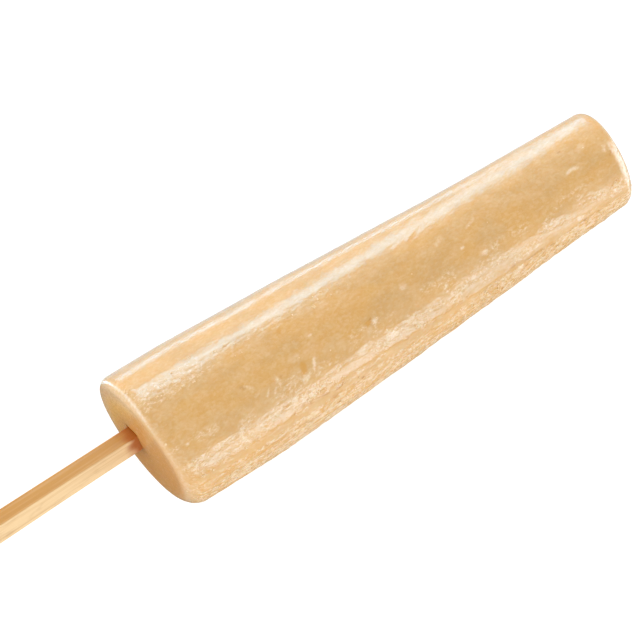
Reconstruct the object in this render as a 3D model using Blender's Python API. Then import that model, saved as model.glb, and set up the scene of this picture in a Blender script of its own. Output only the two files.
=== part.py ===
"""Kulfi on a stick: a tapered round bar of dense frozen milk, with a square bamboo stick in its wide end.

Metres, +Z up.  The bar lies on its side along +X, tip towards +X and stick towards -X.  It rests on z = 0 on
a narrow flat, and the origin is on the floor below the middle of the whole thing.

The bar is first worked out in its own frame, from the centre of its wide face: "along" runs down its axis to
the tip, "across" runs to its +Y side, "up" runs to its upper side.  An angle round the bar is counted from
"up" towards "across".
"""
import math

import bmesh
import bpy
from mathutils import Matrix, Vector

# the frozen bar
LENGTH = 0.1187
WIDE_RADIUS = 0.01635
TIP_RADIUS = 0.0109
STRAIGHT_LENGTH = 0.014          # the wide end runs straight this far before it tapers
TAPER_START_HANDLE = (0.0430, 0.01572)
TAPER_END_HANDLE = (0.0676, 0.01300)
WIDE_RIM_ACROSS = 0.0023         # rounding of the wide rim on the +Y side
WIDE_RIM_AGAINST = 0.0042        # and on the -Y side, where it has melted more
TIP_RIM = 0.0025
WIDE_DOME = 0.0004
TIP_DOME = 0.0005
WIDE_SLANT = math.radians(4.2)   # both end faces lean: their +Y side stands further out
TIP_SLANT = math.radians(3.1)
SLANT_REACH = 0.040              # how far into the bar a leaning face is felt
WIDE_BOW = 0.0007                # the axis curves towards +Y at both ends
TIP_BOW = 0.0005
BOW_SHIFT = -0.00025

# soft unevenness of the moulded sides: depth, lobes round the bar, waves along it, phase
WAVES = (
    (0.00007, 2, 1.5, 0.4),
    (0.00005, 3, 2.5, 2.1),
    (0.00004, 5, 4.0, 4.0),
)

# how it lies
REST_NEAR_WIDE = 0.030           # the bar leans until it touches the floor at these two places
REST_NEAR_TIP = 0.113
FLAT_DEPTH = 0.0003              # and its own weight flattens it there

# the stick
STICK_EMBEDDED = 0.085
STICK_OUT = 0.093
STICK_ACROSS = 0.0028            # where it enters the wide face
STICK_UP = -0.0003
STICK_YAW = math.radians(0.95)   # it points slightly to the -Y side on its way out
STICK_TURN = math.radians(44.0)  # one of its edges is uppermost
STICK_SIDE = 0.00405             # at the bar and inside it
STICK_SIDE_GROWTH = 0.00042      # how much thicker the free end is
GROWTH_START = 0.005             # it thickens between these two distances from the bar
GROWTH_END = 0.050
STICK_EDGE = 0.00022             # chamfer along its four edges
STICK_END_CHAMFER = 0.0003
GAP = 0.0003                     # between the stick and its hole

# mesh fineness
SEGMENTS = 56
FACE_RINGS = 4
RIM_RINGS = 5
SIDE_RINGS = 24
STICK_STEPS = 12


def make_material(name, color, roughness):
    """A Principled material of one colour."""
    material = bpy.data.materials.new(name)
    material.use_nodes = True
    shader = material.node_tree.nodes["Principled BSDF"]
    shader.inputs["Base Color"].default_value = (*color, 1.0)
    shader.inputs["Roughness"].default_value = roughness
    shader.inputs["Metallic"].default_value = 0.0
    return material


def add_object(name, shape, material=None):
    """Turn a bmesh into a named, smooth-shaded object."""
    mesh = bpy.data.meshes.new(name)
    shape.to_mesh(mesh)
    shape.free()
    mesh.shade_smooth()
    mesh.set_sharp_from_angle(angle=math.radians(35.0))
    if material:
        mesh.materials.append(material)
    item = bpy.data.objects.new(name, mesh)
    bpy.context.scene.collection.objects.link(item)
    return item


def loft(rings):
    """Skin a list of closed rings of equal count, and close both ends with a fan round their middles."""
    shape = bmesh.new()
    rows = [[shape.verts.new(point) for point in ring] for ring in rings]
    for row, after in zip(rows, rows[1:]):
        for i in range(len(row)):
            j = (i + 1) % len(row)
            shape.faces.new((row[i], after[i], after[j], row[j]))
    for row in (rows[0], rows[-1]):
        middle = shape.verts.new(sum((vert.co for vert in row), Vector()) / len(row))
        for i in range(len(row)):
            shape.faces.new((row[i], row[(i + 1) % len(row)], middle))
    bmesh.ops.triangulate(shape, faces=shape.faces[:])
    bmesh.ops.recalc_face_normals(shape, faces=shape.faces[:])
    return shape


# ---- the frozen bar ---------------------------------------------------------------------------------------

def taper_point(t):
    """A point (along, radius) of the cubic curve that the bar's side follows from its straight part on."""
    corners = ((STRAIGHT_LENGTH, WIDE_RADIUS), TAPER_START_HANDLE, TAPER_END_HANDLE, (LENGTH, TIP_RADIUS))
    weights = ((1 - t) ** 3, 3 * (1 - t) ** 2 * t, 3 * (1 - t) * t ** 2, t ** 3)
    along = sum(w * corner[0] for w, corner in zip(weights, corners))
    radius = sum(w * corner[1] for w, corner in zip(weights, corners))
    return along, radius


def side_radius(along):
    """The bar's radius at a place along it, before its rims are rounded."""
    if along <= STRAIGHT_LENGTH:
        return WIDE_RADIUS
    low, high = 0.0, 1.0
    for _ in range(30):
        t = (low + high) / 2
        if taper_point(t)[0] < along:
            low = t
        else:
            high = t
    return taper_point(low)[1]


def wide_rim(angle):
    """Rounding of the wide rim at an angle round the bar."""
    share = (1 + math.sin(angle)) / 2
    return WIDE_RIM_AGAINST + (WIDE_RIM_ACROSS - WIDE_RIM_AGAINST) * share


def profile(angle):
    """The bar's outline (along, radius) at one angle, from its wide face to its tip face."""
    points = []
    rim = wide_rim(angle)
    face = WIDE_RADIUS - rim
    for ring in range(1, FACE_RINGS):
        share = ring / FACE_RINGS
        points.append((-WIDE_DOME * (1 - share ** 2), face * share))
    for ring in range(RIM_RINGS):
        turn = math.radians(90.0) * ring / RIM_RINGS
        points.append((rim * (1 - math.cos(turn)), face + rim * math.sin(turn)))
    tip_start = LENGTH - TIP_RIM
    for ring in range(SIDE_RINGS):
        along = rim + (tip_start - rim) * ring / SIDE_RINGS
        points.append((along, side_radius(along)))
    face = side_radius(tip_start) - TIP_RIM
    for ring in range(RIM_RINGS):
        turn = math.radians(90.0) * ring / RIM_RINGS
        points.append((tip_start + TIP_RIM * math.sin(turn), face + TIP_RIM * math.cos(turn)))
    for ring in range(FACE_RINGS, 0, -1):
        share = ring / FACE_RINGS
        points.append((LENGTH + TIP_DOME * (1 - share ** 2), face * share))
    return points


def unevenness(along, angle):
    """Height of the soft waves on the sides.  They die away on the side that the bar rests on."""
    part = along / LENGTH
    height = 0.0
    for depth, lobes, waves, phase in WAVES:
        height += depth * math.sin(lobes * angle + math.tau * waves * part + phase)
    away_from_floor = (1 + math.cos(angle)) / 2
    return height * away_from_floor


def bar_point(along, radius, angle):
    """Bend one point of the true turned shape: soft waves, leaning end faces and a slightly bowed axis."""
    part = along / LENGTH
    radius *= 1 + unevenness(along, angle) / WIDE_RADIUS
    across = radius * math.sin(angle)
    up = radius * math.cos(angle)
    at_wide = max(0.0, 1 - max(along, 0.0) / SLANT_REACH)
    at_tip = max(0.0, 1 - max(LENGTH - along, 0.0) / SLANT_REACH)
    along += across * (math.tan(TIP_SLANT) * at_tip - math.tan(WIDE_SLANT) * at_wide)
    across += BOW_SHIFT + WIDE_BOW * (1 - part) ** 4 + TIP_BOW * part ** 4
    return Vector((along, across, up))


def make_bar():
    angles = [math.tau * i / SEGMENTS for i in range(SEGMENTS)]
    outlines = [profile(angle) for angle in angles]
    rings = []
    for ring in range(len(outlines[0])):
        rings.append([bar_point(*outline[ring], angle) for outline, angle in zip(outlines, angles)])
    return loft(rings)


# ---- the stick --------------------------------------------------------------------------------------------

def stick_ring(out, inset=0.0):
    """The stick's eight-cornered section at a distance out from the wide face; inset shrinks it."""
    part = min(max((out - GROWTH_START) / (GROWTH_END - GROWTH_START), 0.0), 1.0)
    half = (STICK_SIDE + STICK_SIDE_GROWTH * part ** 2 * (3 - 2 * part)) / 2 - inset
    ring = []
    for quarter in range(4):
        spin = Matrix.Rotation(STICK_TURN + math.radians(90.0) * quarter, 3, "X")
        ring.append(spin @ Vector((0, half, STICK_EDGE - half)))
        ring.append(spin @ Vector((0, half, half - STICK_EDGE)))
    centre = Vector((-out, 0, 0))
    yaw = Matrix.Rotation(STICK_YAW, 3, "Z")
    entry = Vector((0, STICK_ACROSS, STICK_UP))
    return [yaw @ (centre + point) + entry for point in ring]


def make_stick():
    rings = [stick_ring(-STICK_EMBEDDED)]
    for step in range(STICK_STEPS + 1):
        rings.append(stick_ring((STICK_OUT - STICK_END_CHAMFER) * step / STICK_STEPS))
    rings.append(stick_ring(STICK_OUT, STICK_END_CHAMFER))
    return loft(rings)


def make_socket():
    """The hole that the stick leaves in the bar, a gap wider all round."""
    rings = [stick_ring(-STICK_EMBEDDED - GAP, -GAP), stick_ring(0.0, -GAP)]
    rings.append(stick_ring(2 * WIDE_RADIUS * math.tan(WIDE_SLANT), -GAP))
    return loft(rings)


# ---- the whole --------------------------------------------------------------------------------------------

def lie_down(shapes, bar):
    """Lean the shapes so that the bar's lower side is level, and set that side on the floor."""
    drop = side_radius(REST_NEAR_WIDE) - side_radius(REST_NEAR_TIP)
    lean = math.atan2(drop, REST_NEAR_TIP - REST_NEAR_WIDE)
    for shape in shapes:
        bmesh.ops.transform(shape, matrix=Matrix.Rotation(lean, 4, "Y"), verts=shape.verts[:])
    lowest = min(vert.co.z for vert in bar.verts)
    sides = [vert.co.y for vert in bar.verts]
    ends = [vert.co.x for shape in shapes for vert in shape.verts]
    middle = Vector(((min(ends) + max(ends)) / 2, (min(sides) + max(sides)) / 2, lowest + FLAT_DEPTH))
    for shape in shapes:
        bmesh.ops.translate(shape, vec=-middle, verts=shape.verts[:])


def flatten_below(shape):
    """Cut the shape off level with the floor and close the cut."""
    everything = shape.verts[:] + shape.edges[:] + shape.faces[:]
    cut = bmesh.ops.bisect_plane(shape, geom=everything, plane_co=(0, 0, 0), plane_no=(0, 0, 1), clear_inner=True)
    edges = [item for item in cut["geom_cut"] if isinstance(item, bmesh.types.BMEdge)]
    bmesh.ops.holes_fill(shape, edges=edges)
    bmesh.ops.recalc_face_normals(shape, faces=shape.faces[:])


def main():
    for item in list(bpy.data.objects):
        bpy.data.objects.remove(item, do_unlink=True)

    frozen_milk = make_material("frozen_milk", (0.73, 0.44, 0.17), 0.45)
    bamboo = make_material("bamboo", (0.72, 0.46, 0.21), 0.6)

    bar, stick, socket = make_bar(), make_stick(), make_socket()
    lie_down((bar, stick, socket), bar)
    flatten_below(bar)

    kulfi = add_object("kulfi", bar, frozen_milk)
    add_object("stick", stick, bamboo)
    hole = add_object("stick_hole", socket)
    hole.hide_render = True
    hole.display_type = "WIRE"

    cut = kulfi.modifiers.new("stick_hole", "BOOLEAN")
    cut.operation = "DIFFERENCE"
    cut.solver = "EXACT"
    cut.object = hole


main()
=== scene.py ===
"""Looks for the kulfi on a stick: the frozen bar with its scratched and frosted skin, and its bamboo stick.

The bar is worked out in its own frame, as in the CAD: "along" runs down its axis from the wide face to the
tip, "across" runs to its +Y side and "up" to its upper side.  An angle round the bar is counted from "up"
towards "across".  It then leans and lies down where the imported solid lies.
"""
import math

import bmesh
import bpy
import numpy as np
from mathutils import Matrix, Vector, noise


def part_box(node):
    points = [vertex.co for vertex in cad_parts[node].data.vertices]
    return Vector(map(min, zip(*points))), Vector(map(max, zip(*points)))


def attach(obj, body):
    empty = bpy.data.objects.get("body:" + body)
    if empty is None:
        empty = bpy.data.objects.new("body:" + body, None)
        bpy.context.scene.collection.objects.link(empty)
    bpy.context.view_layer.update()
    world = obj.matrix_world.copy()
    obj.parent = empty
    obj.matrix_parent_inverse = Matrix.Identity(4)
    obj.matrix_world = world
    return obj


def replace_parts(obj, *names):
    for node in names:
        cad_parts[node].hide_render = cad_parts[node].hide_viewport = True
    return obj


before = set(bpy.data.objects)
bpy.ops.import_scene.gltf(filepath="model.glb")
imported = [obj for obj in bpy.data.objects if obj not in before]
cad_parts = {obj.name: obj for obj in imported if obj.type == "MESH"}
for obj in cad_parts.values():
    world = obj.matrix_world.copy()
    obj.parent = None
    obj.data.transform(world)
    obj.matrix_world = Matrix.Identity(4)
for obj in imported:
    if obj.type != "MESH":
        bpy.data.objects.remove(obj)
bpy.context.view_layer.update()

MM = 0.001

# the frozen bar, as in the CAD
LENGTH = 0.1187
WIDE_RADIUS = 0.01635
TIP_RADIUS = 0.0109
STRAIGHT_LENGTH = 0.014
TAPER_START_HANDLE = (0.0430, 0.01572)
TAPER_END_HANDLE = (0.0676, 0.01300)
WIDE_RIM_ACROSS = 0.0023
WIDE_RIM_AGAINST = 0.0042
TIP_RIM = 0.0025
TIP_RIM_START = LENGTH - TIP_RIM
WIDE_DOME = 0.0004
TIP_DOME = 0.0005
WIDE_SLANT = math.radians(4.2)
TIP_SLANT = math.radians(3.1)
SLANT_REACH = 0.040
WIDE_BOW = 0.0007
TIP_BOW = 0.0005
BOW_SHARPNESS = 4
BOW_SHIFT = -0.00025
# soft waves on the sides: height, how many round the bar, how many along it, and phase
WAVES = (
    (0.00007, 2, 1.5, 0.4),
    (0.00005, 3, 2.5, 2.1),
    (0.00004, 5, 4.0, 4.0),
)
REST_NEAR_WIDE = 0.030
REST_NEAR_TIP = 0.113

# the stick, as in the CAD
STICK_EMBEDDED = 0.085
STICK_OUT = 0.093
STICK_ACROSS = 0.0028
STICK_UP = -0.0003
STICK_YAW = math.radians(0.95)
STICK_TURN = math.radians(44.0)
STICK_SIDE = 0.00405
STICK_SIDE_GROWTH = 0.00042
GROWTH_START = 0.005
GROWTH_END = 0.050
HOLE_SQUARENESS = 9.0
LIP_WIDTH = 0.0003
# the hole's rows: depth, and the gap to the stick, in mm
HOLE_ROWS = ((85.3, 0.3), (12.0, 0.3), (4.0, 0.03), (1.0, 0.03), (0.5, 0.05), (0.25, 0.09), (0.08, 0.17))

# fineness of the bar's skin, which is finer between these two angles, where the relief is finest
AROUND_FINE = 210
AROUND_COARSE = 90
FINE_START = math.radians(-120)
FINE_END = math.radians(70)
TAPER_POINTS = 800
FACE_ROWS = 20
FACE_CROWDING = 1.15  # above 1, the rows lie closer together towards the stick
RIM_ROWS = 12
SIDE_ROWS = 270
TIP_RIM_ROWS = 9
TIP_ROWS = 14

# how far a row of the skin is turned from the wide face, in degrees
IN_HOLE = -1.0
ON_FACE = 0.0
ON_SIDE = 90.0
ON_TIP = 180.0


# ---- form of the bar ----

def taper_table():
    """Points (along, radius) close together on the cubic curve of the bar's side."""
    t = np.linspace(0.0, 1.0, TAPER_POINTS)
    weights = ((1 - t) ** 3, 3 * (1 - t) ** 2 * t, 3 * (1 - t) * t ** 2, t ** 3)
    corners = ((STRAIGHT_LENGTH, WIDE_RADIUS), TAPER_START_HANDLE, TAPER_END_HANDLE, (LENGTH, TIP_RADIUS))
    along = sum(weight * corner[0] for weight, corner in zip(weights, corners))
    radius = sum(weight * corner[1] for weight, corner in zip(weights, corners))
    return along, radius


TAPER = taper_table()


def side_radius(along):
    """The bar's radius at a place along it; straight before the taper begins."""
    return np.interp(along, *TAPER)


REST_FALL = float(side_radius(REST_NEAR_WIDE) - side_radius(REST_NEAR_TIP))
LEAN = math.atan2(REST_FALL, REST_NEAR_TIP - REST_NEAR_WIDE)


def wide_rim(angle):
    """Radius of the wide rim's rounding at an angle: smallest on the +Y side, largest on the other."""
    return WIDE_RIM_AGAINST + (WIDE_RIM_ACROSS - WIDE_RIM_AGAINST) * (1 + np.sin(angle)) / 2


def stick_half(out):
    """Half the stick's side at a distance out from the wide face."""
    part = np.clip((out - GROWTH_START) / (GROWTH_END - GROWTH_START), 0.0, 1.0)
    return (STICK_SIDE + STICK_SIDE_GROWTH * part ** 2 * (3 - 2 * part)) / 2


def stick_middle(out):
    """Where the stick's middle line is at a distance out from the wide face, as (along, across, up)."""
    return -out * math.cos(STICK_YAW), STICK_ACROSS - out * math.sin(STICK_YAW), STICK_UP


def stick_outline(angle, out, grow):
    """Round-cornered square around the stick, larger by "grow" on each side, as (along, across, up)."""
    turned = angle + STICK_TURN
    reach = np.abs(np.cos(turned)) ** HOLE_SQUARENESS + np.abs(np.sin(turned)) ** HOLE_SQUARENESS
    radius = (stick_half(out) + grow) / reach ** (1 / HOLE_SQUARENESS)
    along, across, up = stick_middle(out)
    return along + 0 * angle, across + radius * np.sin(angle), up + radius * np.cos(angle)


def skin_angles():
    """Angles round the bar, closer together where the relief is finest."""
    fine = np.linspace(FINE_START, FINE_END, AROUND_FINE, endpoint=False)
    coarse = np.linspace(FINE_END, FINE_START + math.tau, AROUND_COARSE, endpoint=False)
    return np.concatenate([fine, coarse])


def hole_rows(angle):
    """The stick's hole, tight round it at its mouth, and the small lip where the milk froze to the wood."""
    for depth, gap in HOLE_ROWS:
        yield IN_HOLE, *stick_outline(angle, -depth * MM, gap * MM)


def face_rows(angle, face):
    """The wide domed face, from the stick out to the rim."""
    start_across, start_up = stick_outline(angle, 0.0, LIP_WIDTH)[1:]
    for row in range(FACE_ROWS):
        part = (row / FACE_ROWS) ** FACE_CROWDING
        across = start_across + (face * np.sin(angle) - start_across) * part
        up = start_up + (face * np.cos(angle) - start_up) * part
        middle = np.hypot(across, up) / face
        yield ON_FACE, -WIDE_DOME * (1 - middle ** 2), across, up


def round_row(turn, along, radius, angle):
    """A round row of the skin, at a place along the bar."""
    return turn, along + 0 * angle, radius * np.sin(angle), radius * np.cos(angle)


def side_rows(angle, rim, face):
    """The wide rim and the side, up to the tip's rim."""
    for row in range(RIM_ROWS):
        turn = math.radians(90.0) * row / RIM_ROWS
        yield round_row(math.degrees(turn), rim * (1 - math.cos(turn)), face + rim * math.sin(turn), angle)
    for row in range(SIDE_ROWS):
        along = rim + (TIP_RIM_START - rim) * row / SIDE_ROWS
        yield round_row(ON_SIDE, along, side_radius(along), angle)


def tip_rows(angle):
    """The tip's rim and its domed face."""
    face = float(side_radius(TIP_RIM_START)) - TIP_RIM
    for row in range(TIP_RIM_ROWS):
        turn = math.radians(90.0) * row / TIP_RIM_ROWS
        along = TIP_RIM_START + TIP_RIM * math.sin(turn)
        yield round_row(ON_SIDE + math.degrees(turn), along, face + TIP_RIM * math.cos(turn), angle)
    for row in range(TIP_ROWS):
        part = 1 - row / TIP_ROWS
        yield round_row(ON_TIP, LENGTH + TIP_DOME * (1 - part ** 2), face * part, angle)


def bar_rows():
    """Rows of points (along, across, up) on the true shape, from hole to tip, and each row's turn."""
    angle = skin_angles()
    rim = wide_rim(angle)
    face = WIDE_RADIUS - rim
    rows = [*hole_rows(angle), *face_rows(angle, face), *side_rows(angle, rim, face), *tip_rows(angle)]
    turns = np.array([row[0] for row in rows])
    return np.array([row[1:] for row in rows]).transpose(0, 2, 1), turns


def bend(points):
    """Soft waves on the sides, leaning end faces and a slightly bowed axis."""
    along, across, up = points[:, 0].copy(), points[:, 1].copy(), points[:, 2].copy()
    angle = np.arctan2(across, up)
    part = along / LENGTH
    height = 0.0
    for depth, lobes, waves, phase in WAVES:
        height = height + depth * np.sin(lobes * angle + math.tau * waves * part + phase)
    stretch = 1 + height * (1 + np.cos(angle)) / 2 / WIDE_RADIUS
    across *= stretch
    up *= stretch
    at_wide = np.clip(1 - np.maximum(along, 0) / SLANT_REACH, 0, None)
    at_tip = np.clip(1 - np.maximum(LENGTH - along, 0) / SLANT_REACH, 0, None)
    along += across * (math.tan(TIP_SLANT) * at_tip - math.tan(WIDE_SLANT) * at_wide)
    across += BOW_SHIFT + WIDE_BOW * (1 - part) ** BOW_SHARPNESS + TIP_BOW * part ** BOW_SHARPNESS
    return np.stack([along, across, up], axis=1)


def lying_matrix(points):
    """From the bar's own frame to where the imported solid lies, found from the solid's box."""
    lean = Matrix.Rotation(LEAN, 4, "Y")
    turned = points @ np.array(lean.to_3x3()).T
    low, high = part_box("kulfi")
    shift = Vector((
        high.x - turned[:, 0].max(),
        (low.y + high.y) / 2 - (turned[:, 1].min() + turned[:, 1].max()) / 2,
        high.z - turned[:, 2].max(),
    ))
    return Matrix.Translation(shift) @ lean


def transform(points, matrix):
    """Points turned and shifted by a matrix."""
    turn = np.array(matrix.to_3x3())
    return points @ turn.T + np.array(matrix.translation)


def skin_mesh(name, points, rows, around, first_middle, last_middle):
    """A closed skin over rows of points, with a fan to a middle point at each end."""
    count = rows * around
    vertices = np.concatenate([points, [first_middle, last_middle]])
    row, column = np.meshgrid(np.arange(rows - 1), np.arange(around), indexing="ij")
    after = (column + 1) % around
    quads = np.stack([row * around + column, row * around + after,
                      (row + 1) * around + after, (row + 1) * around + column], axis=-1).reshape(-1, 4)
    ring = np.arange(around)
    following = (ring + 1) % around
    start_fan = np.stack([following, ring, np.full(around, count)], axis=-1)
    last = (rows - 1) * around
    end_fan = np.stack([last + ring, last + following, np.full(around, count + 1)], axis=-1)
    faces = quads.tolist() + start_fan.tolist() + end_fan.tolist()
    mesh = bpy.data.meshes.new(name)
    mesh.from_pydata(vertices.tolist(), [], faces)
    mesh.shade_smooth()
    return mesh


def add_attribute(mesh, name, values, kind="FLOAT"):
    """A value at each vertex of a mesh, for its material to read."""
    attribute = mesh.attributes.new(name, kind, "POINT")
    key = "vector" if kind == "FLOAT_VECTOR" else "value"
    attribute.data.foreach_set(key, np.asarray(values, np.float32).ravel())


def vertex_vectors(mesh, key):
    """The mesh's vertex positions, "co", or normals, "normal"; one row for each vertex."""
    vectors = np.empty(len(mesh.vertices) * 3, np.float32)
    mesh.vertices.foreach_get(key, vectors)
    return vectors.reshape(-1, 3)


SEED_STEP = 17.3  # how far apart two seeds read the noise


def noise_at(points, size, stretch, seed):
    """Noise from -1 to 1 with features of a size in mm, drawn out along the bar."""
    scaled = points / (size * MM)
    scaled[:, 0] /= stretch
    scaled += seed * SEED_STEP
    return np.array([noise.noise(point) for point in scaled.tolist()])


def smooth_step(low, high, value):
    """0 up to low, 1 from high on, and a smooth rise between them."""
    part = np.clip((value - low) / (high - low), 0.0, 1.0)
    return part * part * (3 - 2 * part)


def inside(value, start, end, soft):
    """1 between start and end, fading to 0 over "soft" on each side."""
    return smooth_step(start - soft, start, value) * (1 - smooth_step(end, end + soft, value))


def at_least(least, share):
    """A share from 0 to 1, squeezed into the range from least to 1."""
    return least + (1 - least) * share


# ---- relief of the skin ----

# marks on the skin: place along in mm, angle in degrees, length and width in mm, slant in degrees, strength
PALE_MARKS = (
    (5.0, -14, 0.9, 0.7, 0, 1.0),
    (22.0, -3, 2.0, 0.5, -45, 0.6),
    (25.0, -14, 2.6, 0.5, 50, 0.7),
    (26.5, -16, 2.0, 0.5, 50, 0.6),
    (28.0, -9, 0.8, 0.7, 0, 0.9),
    (33.5, -22, 2.4, 1.6, 30, 0.6),
    (33.5, -3, 3.0, 2.2, 0, 0.3),
    (36.7, -14, 3.4, 0.8, 65, 1.0),
    (39.0, 6, 0.9, 0.6, 0, 0.8),
    (39.5, -22, 0.9, 0.7, 0, 0.8),
    (47.5, -29, 3.4, 2.0, 10, 0.7),
    (50.5, -17, 1.8, 1.4, 0, 0.4),
    (52.5, -12, 1.7, 1.0, 20, 1.0),
    (54.5, -32, 3.4, 2.2, 0, 0.7),
    (61.5, -1, 2.2, 1.6, 0, 0.5),
    (70.0, -21, 0.8, 0.8, 0, 1.0),
    (73.5, 17, 3.2, 1.3, 35, 0.35),
    (77.0, 0, 0.9, 0.7, 0, 1.0),
    (81.0, -15, 1.6, 1.2, 0, 0.9),
    (81.5, 16, 3.4, 0.8, 20, 0.35),
    (82.8, -15, 2.6, 0.4, 75, 0.6),
    (84.2, -14, 2.2, 0.4, 60, 0.6),
    (87.5, -54, 1.8, 1.5, 0, 1.0),
    (98.5, -56, 2.0, 1.4, 0, 0.9),
    (103.5, -43, 1.8, 1.4, 0, 0.8),
    (106.0, 8, 1.8, 0.9, 20, 0.8),
    (107.7, 7, 1.5, 1.0, -20, 0.7),
    (111.5, 25, 3.0, 1.8, 0, 0.3),
    (114.0, -40, 2.4, 1.1, 0, 0.8),
    (115.5, 10, 2.4, 0.8, 80, 0.8),
)
AMBER_MARKS = (
    (34.0, 21, 1.5, 1.1, 60, 0.8),
    (34.2, -13, 2.8, 1.9, 75, 1.0),
    (51.0, -11, 1.9, 1.2, 10, 0.9),
    (57.0, -41, 1.6, 1.0, -40, 1.0),
    (69.5, 35, 3.2, 0.9, 25, 0.7),
    (92.0, -50, 3.0, 1.2, 10, 0.9),
    (95.0, -49, 2.2, 1.2, 0, 0.9),
)
PITS = (
    (1.5, 44, 0.7, 0.6, 0, 0.6),
    (20.8, -1, 1.3, 0.6, -50, 0.5),
    (29.0, -9, 0.8, 0.6, 0, 0.5),
    (38.0, -51, 1.6, 0.6, 0, 1.0),
    (51.8, -9, 1.0, 0.6, 20, 0.7),
    (57.3, -43, 1.2, 0.7, 30, 1.0),
    (85.5, -46, 1.4, 0.6, 0, 1.0),
    (88.5, -57, 1.4, 0.7, 0, 0.9),
    (107.0, 33, 0.7, 0.6, 0, 0.9),
    (104.5, -49, 1.6, 0.7, 0, 1.0),
    (116.2, 3, 1.8, 0.5, 60, 0.6),
)
# cracks along the bar: start and end in mm, the angle at each in degrees, width in mm, strength
CRACKS = (
    (19.0, 33.0, -54, -59, 0.35, 0.9),
    (21.0, 27.0, -62, -63, 0.3, 0.6),
    (30.5, 41.0, -40, -45, 0.45, 1.0),
    (36.0, 46.0, -49, -51, 0.35, 0.6),
    (63.0, 72.0, -44, -46, 0.4, 0.5),
    (84.0, 97.0, -47, -51, 0.45, 0.7),
)
MARK_EDGE = (0.6, 1.15)  # where a mark fades, counted in its own half length or width
MARK_RAGGEDNESS = 0.45
CRACK_WANDER = 0.9  # mm
CRACK_RAGGEDNESS = 0.2  # mm
CRACK_END = 1.0  # mm
CRACK_BOTTOM = 0.3  # the share of its width that is deepest


def marked(marks, along, angle, ragged):
    """How strongly a list of marks covers each point; "ragged" noise (-1 to 1) makes their edges uneven."""
    cover = np.zeros(len(along))
    for place, turn, length, width, slant, strength in marks:
        forward = along - place
        sideways = (angle - turn) * math.radians(1.0) * float(side_radius(place * MM)) / MM
        lean = math.radians(slant)
        run = (forward * math.cos(lean) + sideways * math.sin(lean)) / (length / 2)
        spread = (sideways * math.cos(lean) - forward * math.sin(lean)) / (width / 2)
        reach = np.hypot(run, spread) * (1 + MARK_RAGGEDNESS * ragged)
        cover = np.maximum(cover, strength * (1 - smooth_step(*MARK_EDGE, reach)))
    return cover


def cracked(along, angle, ragged, wander):
    """How deep each point lies in a crack, with the same uneven edges."""
    depth = np.zeros(len(along))
    for start, end, start_angle, end_angle, width, strength in CRACKS:
        part = np.clip((along - start) / (end - start), 0, 1)
        radius = np.interp((start + end) / 2 * MM, *TAPER) / MM
        middle = start_angle + (end_angle - start_angle) * part
        away = np.abs((angle - middle) * math.radians(1.0) * radius + CRACK_WANDER * wander)
        away = away + CRACK_RAGGEDNESS * ragged
        open_part = inside(along, start, end, CRACK_END) * smooth_step(*CRACK_GAPS, ragged)
        cover = strength * open_part * (1 - smooth_step(CRACK_BOTTOM * width, width, away))
        depth = np.maximum(depth, cover)
    return depth


# noise on the skin: the size of its features in mm, how far they are drawn out along the bar, and its seed
RAGGED_NOISE = (0.9, 1.2, 5)
PATCH_NOISE = (5.5, 2.2, 6)
CREST_NOISE = (1.1, 3.2, 7)
BREAK_NOISE = (3.0, 1.5, 8)
LUMP_NOISE = (1.05, 1.3, 9)
BROKEN_NOISE = (0.95, 1.4, 10)
PALE_HALF_NOISE = (3.0, 1.4, 11)
WANDER_NOISE = (2.6, 1.0, 13)
GOLD_LINE_NOISE = (2.4, 5.0, 14)
# soft swells and pebbling everywhere: height in mm, and the noise
SWELLS = (
    (0.055, (7.5, 1.6, 1)),
    (0.028, (3.2, 1.5, 2)),
    (0.022, (1.3, 1.3, 3)),
    (0.012, (0.8, 1.0, 4)),
)
SWELL_ON_FACES = 0.35  # compared with the side

# where the patterns lie: start, end and how softly they fade, in mm along the bar, in degrees round it, or
# in degrees turned from the wide face
SIDE_TURNS = (80, 120, 55)
LOW_ANGLES = (-118, -53, 6)
LOW_START_ALONG = (14, 50, 6)
CRUMBLY_ALONG = (80, 108, 8)
BROKEN_ANGLES = (-43, -30, 4)
PALE_HALF_ANGLES = (-30, -14, 8)
SEAM_ALONG = (2, 82, 6)
SEAM_RISE_ALONG = (36, 44, 16)
RIM_BAND_TURNS = (34, 80, 10)
# where the painted highlight on the tip's rim and corner lies
TIP_LINE_ALONG = (116.8, 125, 0.8)
TIP_LINE_ANGLES = (-75, 8, 12)
TIP_CORNER_TURNS = (140, 165, 12)
TIP_CORNER_ANGLES = (12, 60, 12)
ABOVE_ACROSS = (1.5, 4.0, 3.5)  # mm
BESIDE_UP = (-7.0, -1.0, 4.5)  # mm
# rough patches where the upper streak starts: where along, at which angles, and how strongly
START_PATCHES = (
    ((3, 14, 5), (24, 37, 6), 1.0),
    ((19, 48, 8), (25, 32, 4), 0.5),
)

# where something rises from 0 to 1: mm along the bar, degrees, millimetres, or plain noise
GOLD_LINE_END = (70, 95)  # mm along
FIRST_ROWS_END = (2.5, 4.5)  # mm along
SEAM_FALL_ALONG = (60, 85)  # mm along
FACE_END_TURNS = (30, 60)
SHADE_END_TURNS = (4, 34)
TIP_LINE_END_TURNS = (145, 170)
HOLE_EDGE_TURNS = (-1, 2)
CRUMB_END_ANGLES = (68, 80)
PATCHY = (-0.4, 0.3)
BREAKS = (-0.25, 0.25)
PALE_HALF_PATCHES = (-0.2, 0.3)
GOLD_LINE_EDGE = (0.02, 0.10)
CREST_FEET = (0.1, 0.9)
LUMP_TOPS = (-0.1, 0.4)
LUMP_FEET = (0.0, 0.4)
SEAM_GAPS = (-0.3, 0.2)
CRACK_GAPS = (-0.3, 0.1)
CRUMB_GAPS = (-0.2, 0.3)
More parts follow.
